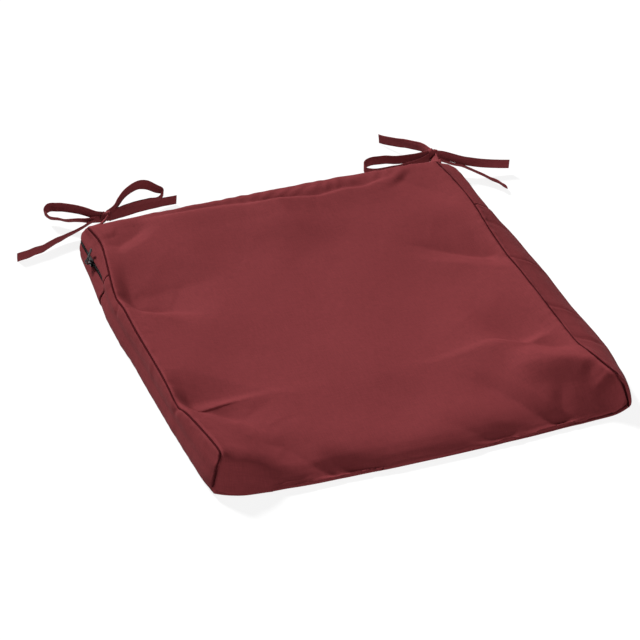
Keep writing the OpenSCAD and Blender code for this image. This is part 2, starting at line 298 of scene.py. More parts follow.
# Folds in the top panel, in (x, v): path, height, fall-off behind or right of it, fall-off on the other side,
# rounding of the crest, fade at the start and at the end as fractions of the path.
FOLDS = [
    ([(-213, 128), (-206, 141), (-188, 154), (-164, 164), (-143, 180), (-121, 196)], -10.0, 78, 26, 0.8, 0.0, 0.6),
    ([(-216, 334), (-199, 339), (-179, 352), (-158, 370), (-146, 392), (-140, 413)], -10.0, 54, 28, 0.8, 0.0, 0.6),
    ([(-200, 26), (-197, 38), (-182, 47), (-160, 34), (-149, 24), (-140, 13)], -3.6, 30, 16, 2.0, 0.1, 0.3),
    ([(-159, 17), (-120, 15), (-83, 17), (-29, 21), (14, 29), (43, 36), (76, 32), (96, 34), (119, 28), (140, 21)], 2.0, 6, 30, 0.7, 0.15, 0.1),
    ([(-150, 11), (-83, 11), (-31, 18), (14, 22), (44, 26), (77, 21), (99, 24), (120, 19), (141, 13)], -2.6, 10, 8, 1.5, 0.2, 0.2),
    ([(138, 19), (156, 41), (176, 68), (190, 97)], -3.4, 40, 34, 1.6, 0.1, 0.6),
    ([(-0, 25), (-3, 57), (4, 80), (15, 120)], 4.4, 52, 64, 1.6, 0.1, 0.7),
    ([(80, 129), (120, 146), (150, 164), (174, 179), (192, 196)], -9.0, 70, 26, 0.8, 0.75, 0.0),
    ([(78, 244), (124, 272), (135, 297), (144, 320), (154, 348), (169, 360), (191, 378)], -8.6, 72, 30, 1.0, 0.85, 0.0),
    ([(58, 360), (85, 387), (107, 427), (126, 458), (141, 471)], -3.8, 16, 30, 1.2, 0.5, 0.0),
    ([(112, 381), (130, 385), (153, 393), (172, 400), (195, 410)], 2.6, 34, 26, 2.2, 0.3, 0.0),
    ([(157, 414), (148, 446), (144, 470)], -1.6, 12, 14, 0.9, 0.5, 0.0),
    ([(182, 410), (191, 421), (199, 435)], -4.0, 12, 14, 2.5, 0.5, 0.2),
    ([(191, 376), (195, 402), (199, 421), (203, 440)], 2.6, 6, 12, 0.8, 0.0, 0.2),
    ([(-174, 397), (-161, 408), (-134, 419), (-114, 450), (-91, 477)], -3.8, 34, 20, 1.0, 0.5, 0.0),
    ([(-104, 428), (-90, 453), (-76, 470), (-59, 484)], -2.6, 20, 12, 0.8, 0.5, 0.0),
    ([(67, 270), (106, 307), (111, 344), (106, 383)], 2.4, 50, 50, 6.0, 0.4, 0.4),
    ([(-120, 76), (-57, 101), (-36, 137)], -2.0, 60, 50, 6.0, 0.5, 0.5),
    ([(-52, 270), (-14, 320), (16, 391)], 2.0, 70, 60, 6.0, 0.5, 0.4),
    ([(46, 175), (106, 209), (165, 255)], -2.4, 60, 50, 6.0, 0.5, 0.4),
    ([(-176, 240), (-114, 272), (-52, 299)], -2.0, 60, 50, 6.0, 0.4, 0.5),
    ([(21, 425), (60, 462), (90, 480)], -2.0, 24, 16, 1.2, 0.5, 0.1),
]


# The front of the pad, where the cloth falls slackly to the bottom seam: y and z at fractions of the width.
FRONT_V = [342, 356, 376, 398, 418, 438, 445, 455, 466, 477, 484]
FRONT = {
    0.06: [(-117.3, 38.6), (-131.4, 38.0), (-151.2, 37.0), (-172.6, 36.0), (-192.2, 35.0), (-211.6, 33.4), (-217.6, 31.0), (-222.2, 23.2), (-225.6, 13.4), (-229.0, 5.6), (-230.0, 3.4)],
    0.12: [(-116.6, 36.6), (-130.4, 35.2), (-150.2, 32.8), (-171.8, 29.6), (-191.4, 26.0), (-211.0, 21.6), (-217.6, 19.4), (-225.4, 13.4), (-230.4, 7.4), (-232.8, 4.4), (-233.0, 3.4)],
    0.25: [(-116.2, 27.8), (-130.0, 26.8), (-149.8, 25.2), (-171.6, 23.4), (-191.4, 21.6), (-211.2, 19.2), (-217.8, 17.4), (-226.0, 12.6), (-232.6, 7.6), (-236.0, 4.8), (-236.4, 3.4)],
    0.50: [(-116.6, 23.1), (-130.4, 22.3), (-150.2, 21.0), (-172.0, 19.7), (-191.8, 18.5), (-211.6, 17.0), (-218.2, 15.7), (-226.6, 12.0), (-233.2, 7.4), (-236.8, 4.8), (-237.2, 3.4)],
    0.80: [(-116.6, 29.6), (-130.4, 29.2), (-150.2, 28.4), (-171.4, 26.6), (-190.6, 23.8), (-208.6, 19.2), (-214.2, 16.8), (-221.4, 12.6), (-227.8, 8.2), (-232.2, 5.0), (-232.8, 3.4)],
    0.90: [(-117.2, 36.0), (-131.0, 36.4), (-151.0, 36.4), (-171.6, 34.4), (-188.6, 27.8), (-205.0, 20.2), (-210.6, 17.2), (-218.4, 12.8), (-225.4, 8.4), (-229.4, 5.0), (-229.6, 3.4)],
    0.96: [(-117.0, 38.2), (-130.8, 38.8), (-150.8, 39.4), (-172.4, 39.0), (-190.2, 34.4), (-206.4, 26.8), (-212.0, 23.2), (-218.4, 17.0), (-223.0, 11.0), (-226.2, 5.6), (-226.8, 3.4)],
}


def close_at_ends(length, n, both=True):
    """n positions along a length, closely set near the ends so that a seam can roll under."""
    e = np.array([0, 0.4, 0.8, 1.3, 1.9, 2.6, 3.5])
    if both:
        return np.concatenate([e, np.linspace(4.6, length - 4.6, n - 14), length - e[::-1]])
    return np.concatenate([e, np.linspace(4.6, length, n - 7)])


def panel_grid(nv, nu):
    v = close_at_ends(V_END, nv)
    u = close_at_ends(424.0, nu) / 424.0
    L = hermite(_v, _L, v); R = hermite(_v, _R, v)
    # plateau across the width, from the two seams and the middle line, and the measured front
    st = [0.0, 0.02, 0.06, 0.12, 0.25, 0.5, 0.8, 0.9, 0.96, 0.985, 1.0]
    tab = np.zeros((len(_v), len(st), 2))
    for i, vv in enumerate(_v):
        for j, uu in enumerate(st):
            lin = (1 - uu) * _L[i, 1:] + uu * _R[i, 1:]
            mid = 0.5 * (_L[i, 1:] + _R[i, 1:])
            g = 1 - abs(2 * uu - 1) ** 3.6
            tab[i, j] = lin + (_M[i] - mid) * g
            if vv in FRONT_V:
                k = FRONT_V.index(vv)
                if uu in FRONT:
                    tab[i, j] = FRONT[uu][k]
                elif uu == 0.02:
                    tab[i, j] = 0.55 * _L[i, 1:] + 0.45 * np.array(FRONT[0.06][k])
                elif uu == 0.985:
                    tab[i, j] = 0.55 * _R[i, 1:] + 0.45 * np.array(FRONT[0.96][k])
    rows = hermite(_v, tab.reshape(len(_v), -1), v).reshape(nv, len(st), 2)
    yz = hermite(np.array(st), rows.transpose(1, 0, 2).reshape(len(st), -1), u).reshape(nu, nv, 2).transpose(1, 0, 2)
    P = np.zeros((nv, nu, 3))
    P[..., 0] = (1 - u[None]) * L[:, None, 0] + u[None] * R[:, None, 0]
    P[..., 1:] = yz
    V = np.repeat(v[:, None], nu, 1)
    return P, u, v, V


def add_folds(P, V):
    n = grid_normals(P) * -1
    n *= np.where(n[..., 2:3] < 0, -1, 1)
    X = P[..., 0].copy()
    d = np.zeros(X.shape)
    for path, amp, wp, wn, r, f0, f1 in FOLDS:
        dist, sg, fr = polyline_fields(X, V, path)
        # sg jumps at the ends of the path, so the two widths are mixed over a few millimetres
        mix = 0.5 + 0.5 * np.tanh(sg * dist / 2.5)
        w = wn + (wp - wn) * mix
        a = amp * np.clip(1 - (np.sqrt(dist ** 2 + r * r) - r) / w, 0, 1) ** 1.25
        if f0 > 0:
            t = np.clip(fr / f0, 0, 1); a = a * t * t * (3 - 2 * t)
        if f1 > 0:
            t = np.clip((1 - fr) / f1, 0, 1); a = a * t * t * (3 - 2 * t)
        d += a
    return P + n * (1.5 * blur(d, 1))[..., None], d


P, u_, v_, V_ = panel_grid(241, 211)
X_ = P[..., 0].copy()
edge_d = np.minimum.reduce([(X_ - X_[:, :1]), (X_[:, -1:] - X_), V_, V_END - V_])
BASE = P.copy()
P, fold_d = add_folds(P, V_)
near = np.clip(edge_d / 20.0, 0, 1); near = near * near * (3 - 2 * near)
P = BASE + (P - BASE) * (0.18 + 0.82 * near)[..., None]
# soft unevenness of loose cloth
inner = np.clip(edge_d / 25.0, 0, 1)
P[..., 2] += inner * (0.7 * smooth_noise(X_, V_, 58, 3) + 0.30 * smooth_noise(X_, V_, 26, 4))


def settle(P, keep=3):
    """Lets the sculpted top panel hang and buckle a little as cloth over the foam, and returns how far it moved."""
    C = P[::keep, ::keep]
    nv, nu = C.shape[:2]
    ob = new_object("settling", C.reshape(-1, 3) * MM, grid_faces(nv, nu, True))
    under = C.copy(); under -= np.where(grid_normals(C)[..., 2:3] < 0, -1, 1) * grid_normals(C) * 1.3
    col_ob = new_object("settling_support", under.reshape(-1, 3) * MM, grid_faces(nv, nu, True))
    cm = col_ob.modifiers.new("Collision", "COLLISION")
    col_ob.collision.thickness_outer = 0.0012
    col_ob.collision.cloth_friction = 12.0
    vg = ob.vertex_groups.new(name="held")
    for i in range(nv):
        for j in range(nu):
            if i in (0, nv - 1) or j in (0, nu - 1):
                vg.add([i * nu + j], 1.0, "REPLACE")
    md = ob.modifiers.new("Cloth", "CLOTH")
    st = md.settings
    st.quality = 6
    st.mass = 0.12
    st.tension_stiffness = st.compression_stiffness = 18.0
    st.shear_stiffness = 6.0
    st.bending_stiffness = 0.9
    st.air_damping = 2.0
    st.vertex_group_mass = "held"
    st.pin_stiffness = 1.0
    st.shrink_min = -0.006
    md.collision_settings.distance_min = 0.0012
    md.collision_settings.use_self_collision = False
    md.point_cache.frame_start, md.point_cache.frame_end = 1, 20
    scene.frame_start, scene.frame_end = 1, 20
    for f in range(1, 21):
        scene.frame_set(f)
    ev = ob.evaluated_get(bpy.context.evaluated_depsgraph_get())
    co = np.empty(nv * nu * 3)
    ev.data.vertices.foreach_get("co", co)
    D = co.reshape(nv, nu, 3) / MM - C
    scene.frame_set(1)
    for o in (ob, col_ob):
        me = o.data
        bpy.data.objects.remove(o, do_unlink=True)
        bpy.data.meshes.remove(me)
    if not np.isfinite(D).all():
        D = np.zeros_like(D)
    ln = np.linalg.norm(D, axis=2, keepdims=True)
    D *= np.minimum(1.0, 1.8 / np.maximum(ln, 1e-6))
    D = blur(D, 2)
    # back to the fine grid
    ri, rj = np.arange(P.shape[0]) / keep, np.arange(P.shape[1]) / keep
    i0, j0 = np.minimum(ri.astype(int), nv - 2), np.minimum(rj.astype(int), nu - 2)
    fi, fj = (ri - i0)[:, None, None], (rj - j0)[None, :, None]
    g = lambda a, b: D[i0 + a][:, j0 + b]
    return (g(0, 0) * (1 - fi) + g(1, 0) * fi) * (1 - fj) + (g(0, 1) * (1 - fi) + g(1, 1) * fi) * fj


moved = settle(P)
print("settled: mean mm", float(np.abs(moved).mean()), "most mm", float(np.abs(moved).max()))
P = P + moved
TOPP = P
UV_ = np.stack([X_ + 250, V_], -1)
# fine puckers along the seams and the rolled edge
nrm = grid_normals(P); nrm *= np.where(nrm[..., 2:3] < 0, -1, 1)
eL, eR, eB, eF = X_ - X_[:, :1], X_[:, -1:] - X_, V_, V_END - V_
roll = np.ones(X_.shape)
for e, wd in ((eL, 1.7), (eR, 1.7), (eB, 1.3), (eF, 1.3)):
    roll *= 1 - np.exp(-(e / wd) ** 2)
puck = np.zeros(X_.shape)
for e, along, sd in ((eL, V_, 21), (eR, V_, 22), (eB, X_, 23)):
    puck += np.exp(-e / 9.0) * (0.45 * smooth_noise(along, e * 0.4, 7.5, sd) + 0.3 * smooth_noise(along, e * 0.3, 15, sd + 5))
# slanted puckers in the strip behind the rear fold line
strip = np.exp(-((V_ - 12) / 9.0) ** 2) * np.clip((X_ + 70) / 70, 0, 1) * np.clip((165 - X_) / 30, 0, 1)
puck += strip * 0.35 * np.sin((X_ + 0.9 * V_ + 5 * smooth_noise(X_, V_, 30, 31)) / 17.0 * 2 * math.pi)
P = P + nrm * (2.6 * roll - 1.2 + puck * roll)[..., None]
top = cloth_panel("cover_top_panel", P, UV_, 0.8, m_cover, flip=True)


# ---------------------------------------------------------------- side walls
# Each side station: key, then x for the points at heights 38, 32.2, 24, 14, 7.5 and 2.2.
ZS = np.array([38.0, 32.2, 24.0, 14.0, 7.5, 2.4])
LEFT = [
    (0,   (-204.4, -208.0, -207.2, -208.4, -206.8, -201.8)),
    (5,   (-204.7, -210.9, -210.2, -210.8, -209.0, -203.6)),
    (14,  (-204.4, -211.4, -210.6, -212.2, -210.4, -204.8)),
    (34,  (-204.8, -211.4, -210.7, -213.4, -211.8, -205.8)),
    (60,  (-206.4, -211.5, -210.9, -215.2, -214.0, -208.6)),
    (86,  (-209.8, -212.3, -211.8, -217.6, -216.8, -211.8)),
    (104, (-213.0, -214.9, -214.6, -219.0, -218.4, -213.8)),
    (135, (-215.5, -217.9, -217.8, -220.6, -220.0, -216.0)),
    (202, (-216.9, -218.1, -217.8, -220.6, -220.0, -216.4)),
    (276, (-216.9, -217.9, -217.6, -220.4, -219.8, -216.0)),
    (342, (-217.7, -218.5, -217.8, -220.0, -219.4, -215.8)),
    (398, (-212.1, -215.1, -216.4, -218.6, -218.0, -214.6)),
    (425, (-208.5, -211.9, -214.2, -216.4, -216.2, -213.8)),
    (438, (-207.7, -210.4, -212.2, -214.0, -214.2, -213.2)),
]
RIGHT = [
    (0,   (196.8, 209.2, 210.6, 212.2, 211.2, 206.8)),
    (5,   (197.2, 211.6, 213.2, 214.4, 213.4, 208.4)),
    (14,  (198.2, 212.6, 213.8, 215.6, 214.6, 209.4)),
    (34,  (200.2, 213.2, 214.2, 216.4, 215.6, 210.4)),
    (60,  (202.4, 212.6, 213.8, 216.8, 216.0, 211.0)),
    (86,  (204.0, 213.0, 215.0, 219.6, 218.6, 213.0)),
    (104, (202.2, 212.2, 218.2, 223.6, 221.8, 214.8)),
    (135, (199.0, 209.6, 219.6, 226.4, 224.4, 216.6)),
    (202, (195.8, 207.2, 219.8, 228.4, 226.6, 218.0)),
    (276, (194.8, 206.6, 219.6, 228.4, 226.6, 218.2)),
    (342, (195.0, 208.6, 221.4, 230.2, 228.6, 220.8)),
    (398, (200.4, 211.0, 219.8, 226.2, 225.4, 219.8)),
    (425, (204.4, 211.8, 216.9, 220.9, 221.2, 218.5)),
    (438, (205.4, 209.4, 212.2, 214.9, 216.2, 216.4)),
]
# How far each height sits in front of the seam point at the front corner, and behind it at the rear one.
FRONT_DY = np.array([-7.6, -8.0, -8.2, -8.2, -8.2, -8.2])
REAR_DY = np.array([2.8, 4.2, 4.8, 6.0, 5.6, 2.8])
# Rear wall: y at the six heights for stations along x (fractions of the rear seam).
REAR = [
    (0.000, (225.8, 227.2, 227.8, 229.0, 228.6, 225.8)),
    (0.018, (226.6, 229.2, 229.6, 231.2, 230.6, 226.8)),
    (0.060, (227.0, 229.6, 230.0, 232.0, 231.4, 227.4)),
    (0.300, (227.4, 229.8, 230.4, 233.0, 232.4, 228.0)),
    (0.600, (227.6, 229.8, 230.4, 233.2, 232.6, 228.0)),
    (0.930, (227.0, 229.6, 230.0, 232.0, 231.4, 227.4)),
    (0.982, (226.4, 229.2, 229.6, 231.0, 230.4, 226.8)),
    (1.000, (225.0, 226.4, 227.2, 228.2, 227.8, 224.8)),
]


def side_column(tab, seam, v, sgn):
    """Seven points (top seam to bottom seam) for every v on a side."""
    x = hermite([r[0] for r in tab], np.array([r[1] for r in tab]), v)
    out = np.zeros((len(v), 7, 3))
    out[:, 0] = seam
    wf = np.clip((v - 392) / 46, 0, 1) ** 1.25
    wr = np.clip((16 - v) / 16, 0, 1) ** 1.6
    ey = seam[:, 1]
    for k in range(6):
        out[:, k + 1, 0] = x[:, k]
        out[:, k + 1, 1] = ey + wf * FRONT_DY[k] + wr * REAR_DY[k] + (1 - wr) * np.clip((40 - v) / 24, 0, 1) * 1.5
        out[:, k + 1, 2] = ZS[k] if k else 0.5 * (ZS[0] + np.minimum(seam[:, 2] - 4.0, ZS[0]))
    return out


def rear_column(seam, f):
    y = hermite([r[0] for r in REAR], np.array([r[1] for r in REAR]), f)
    out = np.zeros((len(f), 7, 3))
    out[:, 0] = seam
    xl = np.array([-206.0, -209.6, -210.4, -211.6, -210.0, -205.0])
    xr = np.array([196.6, 208.4, 209.8, 211.4, 210.4, 206.0])
    for k in range(6):
        out[:, k + 1, 0] = xl[k] + (xr[k] - xl[k]) * f
        out[:, k + 1, 1] = y[:, k]
        out[:, k + 1, 2] = ZS[k]
    return out


V_SIDE = 438.0
nL = 200
vl = V_SIDE - close_at_ends(V_SIDE, nL, False)
vr = vl[::-1].copy()
fb = np.linspace(0, 1, 190)
# seams taken from the finished top panel so the edges meet
seamL = np.stack([np.interp(vl, v_, TOPP[:, 0, k]) for k in range(3)], -1)
seamR = np.stack([np.interp(vr, v_, TOPP[:, -1, k]) for k in range(3)], -1)
seamB = np.stack([np.interp(fb, u_, TOPP[0, :, k]) for k in range(3)], -1)
CL, CR, CB = side_column(LEFT, seamL, vl, -1), side_column(RIGHT, seamR, vr, 1), rear_column(seamB, fb)
T7 = np.array([0, 5.5, 12.0, 20.3, 30.6, 37.5, 44.0])


def wall_patch(C, t0, t1, nt):
    """Grid over columns C between two depths (mm down from the top seam); the depths may vary along the wall."""
    t0, t1 = np.broadcast_to(t0, C.shape[0]), np.broadcast_to(t1, C.shape[0])
    f = np.linspace(0, 1, nt)
    f = 0.35 * f + 0.65 * (0.5 - 0.5 * np.cos(math.pi * f))
    out = np.zeros((nt, C.shape[0], 3))
    for j in range(C.shape[0]):
        out[:, j] = hermite(T7, C[j], t0[j] + (t1[j] - t0[j]) * f)
    return out, t0.mean() + (t1.mean() - t0.mean()) * f


def arclen(C):
    p = C[:, 3]
    return np.concatenate([[0], np.cumsum(np.linalg.norm(np.diff(p, axis=0), axis=1))])


def finish_wall(name, P, t, s, edges, material, outward, roll_r=1.1, creases=(), seed=40, thick=0.8, amp=1.0):
    """Rolls the edges, adds puckers and creases, and makes the panel."""
    n = grid_normals(P)
    c = np.sum(n * outward(P), axis=-1, keepdims=True)
    flip = bool(np.median(c) < 0)
    n = n * (-1 if flip else 1)
    S, Tm = np.meshgrid(s, t)
    e_t0, e_t1, e_s0, e_s1 = Tm - t[0], t[-1] - Tm, S - s[0], s[-1] - S
    roll = np.ones(S.shape)
    puck = np.zeros(S.shape)
    for on, e, along, sd in ((edges[0], e_t0, S, 1), (edges[1], e_t1, S, 2), (edges[2], e_s0, Tm, 3), (edges[3], e_s1, Tm, 4)):
        if on:
            roll *= 1 - on * np.exp(-(e / 1.4) ** 2)
            puck += on * np.exp(-e / 6.0) * 0.5 * smooth_noise(along, e * 0.4, 7.0, seed + sd)
    d = (roll_r + 1.0) * roll - 1.0 + roll * puck * amp + roll * amp * (0.5 * smooth_noise(S, Tm, 40, seed + 9) + 0.15 * smooth_noise(S, Tm, 16, seed + 10))
    for path, a, w in creases:
        dist, sg, fr = polyline_fields(S, Tm, path)
        d += a * np.exp(-(dist / w) ** 2) * roll
    P = P + n * d[..., None]
    P[..., 2] = np.maximum(P[..., 2], 0.9)
    UV = np.stack([S, Tm + 600], -1)
    return cloth_panel(name, P, UV, thick, material, flip=not flip), P


out_left = lambda P: np.broadcast_to(np.array([-1.0, 0, 0.2]), P.shape)
out_right = lambda P: np.broadcast_to(np.array([1.0, 0, 0.2]), P.shape)


def out_radial(P):
    o = np.zeros(P.shape)
    o[..., 0] = P[..., 0]
    o[..., 1] = P[..., 1] - 60
    return o / np.linalg.norm(o, axis=-1, keepdims=True)


Z_END = 97.0      # v at which the zip ends on both sides
iL = vl >= Z_END
CLg = CL[iL]
PgL, tg = wall_patch(CLg, 0, 44.0, 40)
sL = arclen(CLg)
gl, _ = finish_wall("cover_gusset_left", PgL, tg, sL, (1, 1, 1, 0.1), m_gusset_painted_shade, out_left, creases=[
    ([(296, 0), (290, 12)], -1.6, 4), ([(96, 0), (100, 10)], -1.4, 4), ([(180, 0), (176, 14)], 0.8, 6)], seed=50)
iR = vr >= Z_END
CRg = CR[iR]
PgR, tg = wall_patch(CRg, 0, 44.0, 40)
sR = arclen(CRg)
gr, _ = finish_wall("cover_gusset_right", PgR, tg, sR, (1, 1, 0.1, 1), m_gusset_painted_shade, out_right, creases=[
    ([(104, 2), (112, 20)], -1.6, 3), ([(110, 4), (118, 20)], 1.2, 4), ([(198, 2), (210, 18)], -1.6, 3), ([(206, 4), (216, 18)], 1.0, 4),
    ([(262, 2), (270, 16)], -1.8, 4), ([(30, 4), (36, 18)], -1.0, 4)], seed=60)

# horseshoe of the zip: left end, rear, right end
iLz, iRz = vl <= Z_END, vr <= Z_END
CZ = np.concatenate([CL[iLz], CB[1:-1], CR[iRz]])
sZ = arclen(CZ)
# the two facings nearly meet over the zip, and part round the slider on the left
n_left = int(iLz.sum())
slide_s = sZ[np.argmin(np.abs(CL[iLz][:, 0, 1] - 188.0))]
half = 1.5 + 3.0 * np.exp(-((sZ - slide_s) / 56.0) ** 8)
half *= np.clip(np.minimum(sZ, sZ[-1] - sZ) / 10.0, 0.15, 1)
T_ZIP = 16.2
Pu, tu = wall_patch(CZ, 0, T_ZIP - half, 18)
fu, _ = finish_wall("cover_zip_facing_upper", Pu, tu, sZ, (1, 0.6, 0.1, 0.1), m_gusset_painted_shade, out_radial, roll_r=0.9, seed=70, amp=0.6)
Pl, tl = wall_patch(CZ, T_ZIP + half, 44.0, 28)
fl, _ = finish_wall("cover_zip_facing_lower", Pl, tl, sZ, (0.6, 1, 0.1, 0.1), m_gusset_painted_shade, out_radial, roll_r=0.9, seed=80, amp=0.7)


# ---------------------------------------------------------------- zip
def inset(P, d):
    n = grid_normals(P)
    c = np.median(np.sum(n * out_radial(P), axis=-1))
    return P - n * (1 if c > 0 else -1) * d


def zip_tape(name, t0, t1, depth):
    P, t = wall_patch(CZ, t0, t1, 9)
    P = inset(P, depth)
    S, Tm = np.meshgrid(sZ, t)
    flip = bool(np.median(np.sum(grid_normals(P) * out_radial(P), axis=-1)) < 0)
    return cloth_panel(name, P, np.stack([S, Tm], -1), 0.45, m_tape, flip=not flip)


tape_u = zip_tape("zip_tape_upper_weave", 8.5, T_ZIP - 0.9, 0.75)
tape_l = zip_tape("zip_tape_lower_weave", T_ZIP + 0.9, 24.0, 0.75)


def zip_coil(name, t_mid, phase):
    """A nylon coil: a flattened helix sewn along the tape edge."""
    Pm, _ = wall_patch(CZ, t_mid - 0.6, t_mid + 0.6, 3)
    N = grid_normals(Pm)[1]
    N *= 1 if np.median(np.sum(N * out_radial(Pm)[1], axis=-1)) > 0 else -1
    C = Pm[1] + N * 0.1
    L = sZ[-1]
    turns = int(L / 1.5)
    k = turns * 8
    s = np.linspace(3, L - 3, k)
    c = np.stack([np.interp(s, sZ, C[:, i]) for i in range(3)], -1)
    nn = np.stack([np.interp(s, sZ, N[:, i]) for i in range(3)], -1)
    tg = np.gradient(c, axis=0); tg /= np.linalg.norm(tg, axis=1, keepdims=True)
    nn /= np.linalg.norm(nn, axis=1, keepdims=True)
    up = np.cross(tg, nn)
    ang = s / 1.5 * 2 * math.pi + phase
    h = c + nn * (0.45 * np.cos(ang))[:, None] + up * (0.95 * np.sin(ang))[:, None]
    ht = np.gradient(h, axis=0); ht /= np.linalg.norm(ht, axis=1, keepdims=True)
    a1 = np.cross(ht, nn); a1 /= np.maximum(np.linalg.norm(a1, axis=1, keepdims=True), 1e-6)
    a2 = np.cross(ht, a1)
    m = 5
    th = np.arange(m) / m * 2 * math.pi
    ring = h[:, None] + 0.34 * (a1[:, None] * np.cos(th)[None, :, None] + a2[:, None] * np.sin(th)[None, :, None])
    i = np.arange(k - 1)[:, None] * m; j = np.arange(m)[None]; j2 = (j + 1) % m
    q = np.stack([i + j, i + j2, i + m + j2, i + m + j], -1).reshape(-1, 4)
    caps = [list(range(m))[::-1], [(k - 1) * m + x for x in range(m)]]
    me_faces = [tuple(x) for x in q] + [tuple(x) for x in caps]
    return new_object(name, ring.reshape(-1, 3) * MM, me_faces, None, m_coil)


coil_u = zip_coil("zip_coil_upper_teeth", T_ZIP - 0.75, 0.0)
coil_l = zip_coil("zip_coil_lower_teeth", T_ZIP + 0.75, math.pi)
for ob, node, sl in ((tape_u, "zip_tape_upper", "zip_tape"), (tape_l, "zip_tape_lower", "zip_tape"), (coil_u, "zip_coil_upper", "zip_coil"), (coil_l, "zip_coil_lower", "zip_coil")):
    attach(ob, "cover"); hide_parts(node)


def from_cad(node, name, material, bevel, body):
    """A finished copy of a hard CAD piece with softened edges."""
    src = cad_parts[node]
    me = src.data.copy()
    me.transform(src.matrix_world)
    ob = bpy.data.objects.new(name, me); col.objects.link(ob)
    me.materials.clear(); me.materials.append(material)
    import bmesh
    bm = bmesh.new(); bm.from_mesh(me)
    bmesh.ops.remove_doubles(bm, verts=bm.verts, dist=1e-6)
    bmesh.ops.dissolve_limit(bm, angle_limit=math.radians(2), verts=bm.verts, edges=bm.edges)
    sharp = [e for e in bm.edges if len(e.link_faces) == 2 and e.calc_face_angle(0) > math.radians(35)]
    bmesh.ops.bevel(bm, geom=sharp, offset=bevel * MM, segments=2, profile=0.7, affect="EDGES", clamp_overlap=True)
    bmesh.ops.triangulate(bm, faces=[f for f in bm.faces if len(f.verts) > 4])
    bm.to_mesh(me); bm.free()
    me.polygons.foreach_set("use_smooth", [True] * len(me.polygons))
    md = ob.modifiers.new("wn", "WEIGHTED_NORMAL")
    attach(ob, body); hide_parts(node)
    return ob


from_cad("zip_slider", "zip_slider_body", m_metal, 0.18, "zip_slider")
from_cad("zip_ring", "zip_ring_wire", m_metal, 0.1, "zip_ring")
from_cad("zip_puller", "zip_puller_tab", m_metal, 0.18, "zip_puller")
from_cad("zip_stop_left", "zip_stop_left_bar", m_coil, 0.15, "cover")
from_cad("zip_stop_right", "zip_stop_right_bar", m_coil, 0.15, "cover")


# ---------------------------------------------------------------- underside
def resample(curve, n):
    s = np.concatenate([[0], np.cumsum(np.linalg.norm(np.diff(curve, axis=0), axis=1))])
    t = np.linspace(0, s[-1], n)
    return np.stack([np.interp(t, s, curve[:, k]) for k in range(3)], -1)


nb_u, nb_v = 120, 130
left_b = resample(np.concatenate([CL[::-1][:, 6], [TOPP[-1, 0]]]), nb_v)     # rear to front
right_b = resample(np.concatenate([CR[:, 6], [TOPP[-1, -1]]]), nb_v)
rear_b = resample(CB[:, 6], nb_u)
front_b = resample(TOPP[-1], nb_u)
left_b[0], right_b[0] = rear_b[0], rear_b[-1]
a, b_ = np.linspace(0, 1, nb_u)[None, :, None], np.linspace(0, 1, nb_v)[:, None, None]
coons = ((1 - a) * left_b[:, None] + a * right_b[:, None] + (1 - b_) * rear_b[None] + b_ * front_b[None]
         - ((1 - a) * (1 - b_) * rear_b[0] + a * (1 - b_) * rear_b[-1] + (1 - a) * b_ * front_b[0] + a * b_ * front_b[-1]))
ed = np.minimum.reduce([coons[..., 0] - coons[:, :1, 0], coons[:, -1:, 0] - coons[..., 0], coons[:1, :, 1] - coons[..., 1], coons[..., 1] - coons[-1:, :, 1]])
k = np.exp(-(np.clip(ed, 0, None) / 5.0) ** 1.6)
coons[..., 2] = coons[..., 2] * k + (1 - k) * (0.25 + 0.10 * (1 + smooth_noise(coons[..., 0], coons[..., 1], 40, 90)))
coons[..., 2] = np.maximum(coons[..., 2], 0.15)
UVb = coons[..., :2] + 300
bottom = cloth_panel("cover_bottom_panel", coons, UVb, 0.8, m_cover, flip=False)

# ---------------------------------------------------------------- foam
def fitted_foam(name, material):
    """A foam slab with rounded edges that stays just under the cover, inside the CAD insert."""
    lo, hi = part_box("foam_insert")
    rows = [i for i in range(8, 226, 4)]
    cols_ = [j for j in range(6, 205, 4)]
    T = TOPP[np.ix_(rows, cols_)].copy()
    n = grid_normals(TOPP) * -1
    n *= np.where(n[..., 2:3] < 0, -1, 1)
    T -= n[np.ix_(rows, cols_)] * 3.2
    # cut back to the slab's edges, at the height the cover has there
    for r in range(T.shape[0]):
        xs = np.clip(T[r, :, 0], lo[0] / MM + 0.5, 184.0)
        T[r, :, 1:] = np.stack([np.interp(xs, T[r, :, 0], T[r, :, k]) for k in (1, 2)], -1)
        T[r, :, 0] = xs
    for c in range(T.shape[1]):
        ys = np.clip(T[:, c, 1], lo[1] / MM + 0.5, hi[1] / MM - 0.5)
        T[:, c, 2] = np.interp(-ys, -T[:, c, 1], T[:, c, 2])
        T[:, c, 1] = ys
    e = np.minimum.reduce([T[..., 0] - T[:, :1, 0], T[:, -1:, 0] - T[..., 0], T[:1, :, 1] - T[..., 1], T[..., 1] - T[-1:, :, 1]])
    T[..., 2] = np.minimum(T[..., 2] - 3.5 * np.exp(-e / 4.0), hi[2] / MM)
    T[..., 2] = np.maximum(blur(T, 1)[..., 2], 5.0)
    B = T.copy(); B[..., 2] = 2.0 + 1.5 * np.exp(-e / 3.0)
    nv, nu = T.shape[:2]
    verts = np.concatenate([T.reshape(-1, 3), B.reshape(-1, 3)]) * MM
    f = [grid_faces(nv, nu, True), grid_faces(nv, nu, False, nv * nu)]
    edge = list(range(nu)) + [r * nu + nu - 1 for r in range(1, nv)] + [(nv - 1) * nu + c for c in range(nu - 2, -1, -1)] + [r * nu for r in range(nv - 2, 0, -1)]
    e1 = np.array(edge); e2 = np.roll(e1, -1)
    f.append(np.stack([e1, e2, e2 + nv * nu, e1 + nv * nu], -1))
    return new_object(name, verts, np.concatenate(f), verts[:, :2] / MM, material)


foam = fitted_foam("foam_slab", m_foam)

